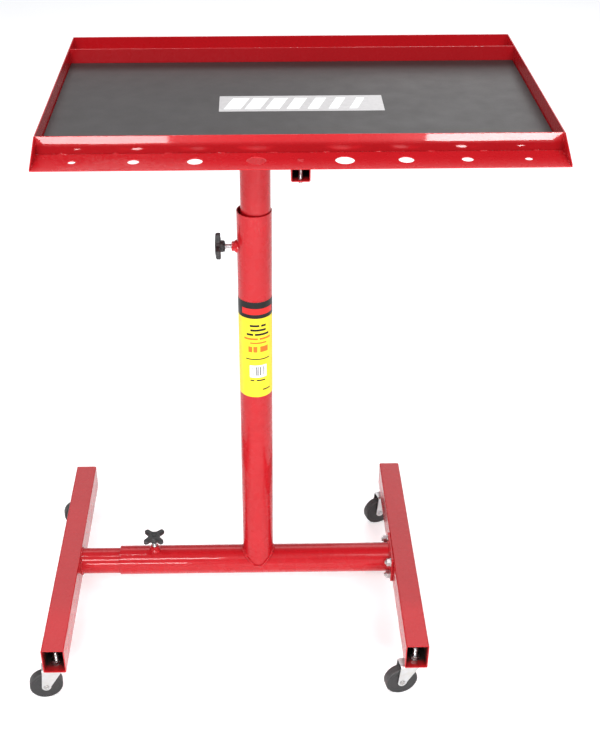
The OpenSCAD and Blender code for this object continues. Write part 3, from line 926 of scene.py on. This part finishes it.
def knob():
    """Four-lobed clamp knob from its hub's face up: stepped hub, domed head, rounded lobes."""
    radius = (node_box("cross_knob")[1].x - node_box("cross_knob")[0].x - 2 * KNOB_LOBE) / 2
    tip = radius * math.sqrt(2)
    count = 240

    def reach(angle):
        """Distance from the axis to the head's edge, with the arms on the diagonals."""
        off = abs((angle % (math.pi / 2)) - math.pi / 4)
        if math.tan(off) < KNOB_LOBE / tip:
            arm = tip * math.cos(off) + math.sqrt(KNOB_LOBE ** 2 - (tip * math.sin(off)) ** 2)
        else:
            arm = KNOB_LOBE / math.sin(off)
        return (arm ** 9 + 10.6 ** 9) ** (1 / 9)

    angles = [math.tau * k / count for k in range(count)]
    edge = [Vector((reach(a) * math.cos(a), reach(a) * math.sin(a))) for a in angles]
    rings = []
    bottom, top = KNOB_HUB, KNOB_HUB + KNOB_HEAD

    def ring(distance, z, share=1.0, dome=0.0):
        points = []
        for p in inset(edge, distance):
            q = p * share
            fall = dome * (q.length / (tip + KNOB_LOBE)) ** 2
            points.append((q.x, q.y, z - fall))
        return points

    for share in (0.35, 0.7, 0.95):
        rings.append(ring(1.6, bottom + 0.5, share))
    for k in range(6):
        a = math.pi / 2 * k / 5
        rings.append(ring(1.6 * (1 - math.sin(a)), bottom + 0.5 + 1.6 * (1 - math.cos(a))))
    for k in range(7):
        a = math.pi / 2 * k / 6
        rings.append(ring(2.4 * (1 - math.cos(a)), top - 2.4 * (1 - math.sin(a)), 1, 1.3))
    for share in (0.9, 0.8, 0.7):
        rings.append(ring(2.4, top, share, 1.3))
    # Shallow round recess in the middle of the head, with a small plug in it
    for r, z in ((5.4, top - 0.1), (5.0, top - 0.7), (4.4, top - 0.8), (4.2, top - 0.3),
                 (3.6, top - 0.1), (0.8, top)):
        rings.append(level_ring(r, z, count))
    shape = skin(rings, caps=True)
    hub = fillet([(4.05, 0, 0.3), (6.4, 0, 0.7), (6.4, 2.6, 0.4), (9.2, 2.6, 0.9), (9.2, 8.6, 0),
                  (4.05, 8.6, 0)], 4)
    shape.add(lathe(hub, 72))
    for k in range(8):
        rib = plate([rounded_rect(5.0, 1.3, 0.4, 3)], 2.4, 0.3, 2)
        shape.add(rib, turn("Z", 22.5 + 45 * k) @ shift(6.2, 0, 0.6))
    return shape


def clamps():
    """Both clamp knobs with their threaded rods and weld nuts."""
    post_screw = node_middle("post_screw")
    cross_screw = node_middle("cross_screw")
    sets = (
        ("post", shift(post_x, 0, post_screw.z) @ TO_LEFT, post_r, 42.0, 1.0),
        ("cross", shift(cross_screw.x, 0, cross_z), cross_r, 0.0, 4.0),
    )
    for name, place, radius, spin, seed in sets:
        low, high = node_box(name + "_screw")
        length = max(high - low)
        tip = radius + KNOB_BASE + 6 - length
        red_piece(name + "_boss", boss(seed).moved(place @ shift(0, 0, radius)), "base",
                  [name + "_screw_boss"], smooth=60)
        piece(name + "_clamp_rod", thread(7.9, 1.25, length, 1.0).moved(place @ shift(0, 0, tip)),
              name + "_screw", [ZINC], [name + "_screw"], smooth=60)
        piece(name + "_clamp_knob", knob().moved(place @ shift(0, 0, radius + KNOB_BASE) @ turn("Z", spin)),
              name + "_knob", [BLACK], [name + "_knob"])


# ------------ casters

def wheel_shape(radius, width, bore):
    """Crowned tread with a parting line, flat sides with a shallow groove, and a raised hub."""
    half = width / 2
    hub = half + 0.65
    right = fillet([
        (bore, hub, 0.3), (7.6, hub, 0.8), (8.3, half - 0.55, 0.5), (21.4, half - 0.55, 0.4),
        (22.2, half - 0.15, 0.5), (radius - 1.9, half, 0.6),
        (radius - 0.15, half - 1.9, 1.2)], 3, closed=False)
    tread = [Vector((radius, half * 0.45)), Vector((radius, 0.5)), Vector((radius - 0.18, 0.22))]
    profile = right + tread
    profile += [Vector((p.x, -p.y)) for p in reversed(profile)]
    shape = lathe(profile, 96)
    # Faces near the rim take the lighter tread material, a painted sheen
    for i, face in enumerate(shape.faces):
        ends = [shape.points[j] for j in face]
        reach = sum(math.hypot(p.x, p.y) for p in ends) / len(ends)
        if reach > radius - 1.6:
            shape.inks[i] = 1
    return shape


def fork_shape(gap, sheet, crown_z, axle, trail):
    """Pressed fork in its own frame: the stem on Z, the axle at X -trail. A bent strip of sheet
    runs down one leg, over the crown and down the other, and narrows round the axle."""
    mid = gap / 2 + sheet / 2
    bend = 3.2
    roof = crown_z + sheet / 2
    path = []
    drop = [axle - 7.6 + k * 0.62 for k in range(13)]
    drop += [axle + 0.3 + (roof - bend - axle - 0.3) * k / 9 for k in range(1, 10)]
    for z in drop:
        path.append((mid, z, 1.0, 0.0))
    for k in range(1, 7):
        a = math.pi / 2 * k / 6
        cos, sin = math.cos(a), math.sin(a)
        path.append((mid - bend + bend * cos, roof - bend + bend * sin, cos, sin))
    flat = mid - bend
    path += [(flat * (1 - k / 5), roof, 0.0, 1.0) for k in range(1, 6)]
    path += [(-y, z, -ny, nz) for y, z, ny, nz in reversed(path[:-1])]

    def ends(z):
        """X of the trailing and the leading edge at this height."""
        end_r = 7.8
        below = axle - z
        if below > 0:
            half = math.sqrt(max(end_r ** 2 - below ** 2, 0.04))
            lead = min(half, end_r)
            return -trail - half, -trail + lead
        share = min(1, (z - axle) / (crown_z - 3 - axle))
        lead = -trail + end_r + (8 + trail - end_r) * share
        return -trail - end_r + 3.4 * share, lead

    across = [0, 0.04, 0.12, 0.3, 0.5, 0.7, 0.88, 0.96, 1]
    outer, inner = [], []
    for y, z, ny, nz in path:
        back, lead = ends(z)
        for side, rows in ((1, outer), (-1, inner)):
            row = []
            for t in across:
                rim = 1 - 0.35 * (abs(2 * t - 1) ** 24)
                off = side * sheet / 2 * rim
                row.append((back + (lead - back) * t, y + ny * off, z + nz * off))
            rows.append(row)
    rings = [o + list(reversed(i)) for o, i in zip(outer, inner)]
    return skin(rings, caps=True)


def caster(name):
    """One caster: fixed stem with its thread and race, swivelling fork and axle, rolling wheel."""
    swivel, roll = joint(name + "_swivel"), joint(name + "_roll")
    body = "caster_" + name
    fixed = swivel["parent"]
    stem_x, stem_y = swivel["pos_m"][0] / MM, swivel["pos_m"][1] / MM
    axis = roll["axis"]
    heading = math.degrees(math.atan2(-axis[0], axis[1]))
    axle_z = roll["pos_m"][2] / MM
    axle = Vector((roll["pos_m"][0] / MM - stem_x, roll["pos_m"][1] / MM - stem_y))
    trail = axle.length
    place = shift(stem_x, stem_y, 0) @ turn("Z", heading)
    stem_low, stem_high = node_box(name + "_stem")
    foot_z = node_box("left_foot")[0].z
    crown_z = stem_low.z + 2
    sheet = 2.0

    rod = thread(9.9, 1.5, stem_high.z - foot_z + 1, 1.2)
    stem = Shape().add(rod, shift(0, 0, foot_z - 1))
    race = fillet([(5, foot_z, 0), (13.2, foot_z, 0.5), (14.6, foot_z - 1.2, 0.8), (14.9, foot_z - 2, 0.3),
                   (12.4, foot_z - 2, 0.6), (5, foot_z - 2, 0)], 3)
    stem.add(lathe(race, 72))
    neck = [(0.01, stem_low.z), (3.6, stem_low.z), (5.2, stem_low.z + 0.35), (6.3, crown_z - 0.7),
            (6.6, crown_z), (4.9, crown_z), (4.9, foot_z)]
    stem.add(lathe(neck, 48, False))
    piece(name + "_stem_set", stem.moved(place), fixed, [STEM_ZINC_SHADED], [name + "_stem"],
          smooth=50)

    fork = fork_shape(WHEEL_GAP, sheet, crown_z, axle_z, trail)
    cup = fillet([(5.1, crown_z - 0.1, 0), (15.0, crown_z - 0.1, 1.2), (17.9, crown_z + 1.6, 1.6),
                  (17.9, foot_z - 0.9, 0.4), (16.3, foot_z - 0.9, 0.4), (16.3, crown_z + 3.4, 1.0),
                  (14.6, crown_z + 2.5, 0.8), (5.1, crown_z + 2.5, 0)], 4)
    fork.add(lathe(cup, 84))
    piece(name + "_fork_pressing", fork.moved(place), body, [FORK_ZINC], [name + "_fork"],
          smooth=42)

    half = WHEEL_GAP / 2 + sheet
    pin = fillet([(0.01, half + 1.05, 0), (1.6, half + 0.75, 0.4), (2.6, half + 1.35, 0.6),
                  (4.4, half + 0.9, 0.7), (4.9, half, 0.2), (3, half - 0.2, 0)], 3, closed=False)
    profile = [(p.x, p.y) for p in pin]
    profile += [(r, -z) for r, z in reversed(profile)]
    across = shift(-trail, 0, axle_z) @ turn("X", 90)
    piece(name + "_axle_rivet", lathe(profile, 48, False).moved(place @ across), body,
          [STEM_ZINC_SHADED], [name + "_axle"])

    low, high = node_box(name + "_wheel")
    wheel = wheel_shape((high.z - low.z) / 2, 16.0, 3.05)
    piece(name + "_wheel_solid", wheel.moved(place @ across), "wheel_" + name,
          [WHEEL_SIDE, WHEEL_TREAD_SHEEN], [name + "_wheel"], smooth=30)
    frame["nodes"][name + "_balls"].data.materials.clear()
    frame["nodes"][name + "_balls"].data.materials.append(STEEL_BALL)


def stem_nuts():
    """Locking nut and washer on each caster's stem, inside the foot."""
    for side, body in (("left", "left_foot"), ("right", "base")):
        low, high = node_box(side + "_stem_nuts")
        shape = Shape()
        for k, end in enumerate(("front", "rear")):
            spot = joint(f"{end}_{side}_swivel")["pos_m"]
            nut = hexagon(15.9, high.z - low.z - 1.6, 9.2)
            disc = lathe(fillet([(9.0, 0, 0.3), (9.0, 1.6, 0.3), (5.1, 1.6, 0.2), (5.1, 0, 0.2)], 2), 48)
            place = shift(spot[0] / MM, spot[1] / MM, low.z)
            shape.add(disc, place)
            shape.add(nut, place @ shift(0, 0, 1.6) @ turn("Z", 11 + 37 * k))
        piece(side + "_stem_nut_set", shape, body, [STEM_ZINC_SHADED], [side + "_stem_nuts"])


tray_pan()
tray_end("left_end")
tray_end("right_end")
tray_corner_welds()
shelf_tacks()
rear_divider()
tool_shelf()
mat()
mat_panel()
rails()
rail_bolts()
outer_post()
post_weld()
cross_tubes()
inner_post()
post_label()
feet()
flange()
clamps()
for caster_name in CASTERS:
    caster(caster_name)
stem_nuts()


# ------------ floor, light and camera

def stage_floor():
    surface = Surface("studio_floor", specular=0.2)
    surface.mottle(900, 2, (0.90, 0.90, 0.90), (0.93, 0.93, 0.93))
    surface.rough(200, 2, 0.75, 0.85)
    surface.shader.inputs["Emission Color"].default_value = (1, 1, 1, 1)
    surface.shader.inputs["Emission Strength"].default_value = 0.32
    mesh = bpy.data.meshes.new("studio_floor")
    half = 40.0
    corners = [(-half, -half, 0), (half, -half, 0), (half, half, 0), (-half, half, 0)]
    mesh.from_pydata(corners, [], [(0, 1, 2, 3)])
    mesh.materials.append(surface.material)
    ground = bpy.data.objects.new("studio_floor", mesh)
    bpy.context.scene.collection.objects.link(ground)


def softbox(name, place, target, width, height, power, colour=(1, 1, 1)):
    light = bpy.data.lights.new(name, "AREA")
    light.shape = "RECTANGLE"
    light.size = width
    light.size_y = height
    light.energy = power
    light.color = colour
    lamp = bpy.data.objects.new(name, light)
    lamp.location = place
    lamp.rotation_euler = (Vector(target) - Vector(place)).to_track_quat("-Z", "Y").to_euler()
    bpy.context.scene.collection.objects.link(lamp)


def studio_light():
    world = bpy.data.worlds.new("studio")
    world.use_nodes = True
    background = world.node_tree.nodes["Background"]
    background.inputs["Color"].default_value = (0.93, 0.95, 1.0, 1)
    background.inputs["Strength"].default_value = 0.42
    bpy.context.scene.world = world
    softbox("key", (1.3, -1.9, 3.3), (0.1, 0, 0.6), 1.8, 1.4, 38)
    softbox("fill", (-2.4, -1.0, 1.9), (0, 0, 0.6), 1.2, 1.6, 8)
    softbox("overhead_strip", (0, -0.45, 3.4), (0, -0.05, 0), 3.6, 0.10, 46)
    softbox("back_panel", (0.3, 3.4, 3.45), (0.1, 0, 0.4), 4.2, 1.7, 50)
    softbox("back_right", (1.3, 3.4, 2.1), (0.3, 0, 0.95), 1.9, 0.8, 10)
    softbox("camera_left", (-0.62, -2.1, 2.35), (-0.2, 0, 0.15), 0.9, 0.32, 28)
    softbox("low_left", (-0.62, -2.0, 0.52), (-0.3, -0.2, 0.95), 0.72, 0.22, 15)
    softbox("low_right", (0.74, -2.0, 0.50), (0.4, -0.2, 0.95), 0.50, 0.24, 17)


def camera():
    """The view from in front and above, set by where the lens stands and how it is turned."""
    turned, dipped, tipped = math.radians(0.777), math.radians(33.274), math.radians(-0.174)
    forward = Vector((math.sin(turned) * math.cos(dipped), math.cos(turned) * math.cos(dipped),
                      -math.sin(dipped)))
    right = Vector((math.cos(turned), -math.sin(turned), 0))
    up = right.cross(forward)
    level_right = right * math.cos(tipped) + up * math.sin(tipped)
    level_up = up * math.cos(tipped) - right * math.sin(tipped)
    lens = bpy.data.cameras.new("camera")
    lens.sensor_fit = "HORIZONTAL"
    lens.sensor_width = 36
    lens.lens = 70.43
    lens.shift_x = 0.0455
    lens.clip_end = 60
    eye = bpy.data.objects.new("camera", lens)
    spot = Vector((post_x + 5.6, -1603.4, 1570.0)) * MM
    eye.matrix_world = Matrix((
        (level_right.x, level_up.x, -forward.x, spot.x),
        (level_right.y, level_up.y, -forward.y, spot.y),
        (level_right.z, level_up.z, -forward.z, spot.z),
        (0, 0, 0, 1)))
    bpy.context.scene.collection.objects.link(eye)
    bpy.context.scene.camera = eye


stage_floor()
studio_light()
camera()
bpy.context.scene.view_settings.view_transform = "Standard"

bpy.context.view_layer.update()
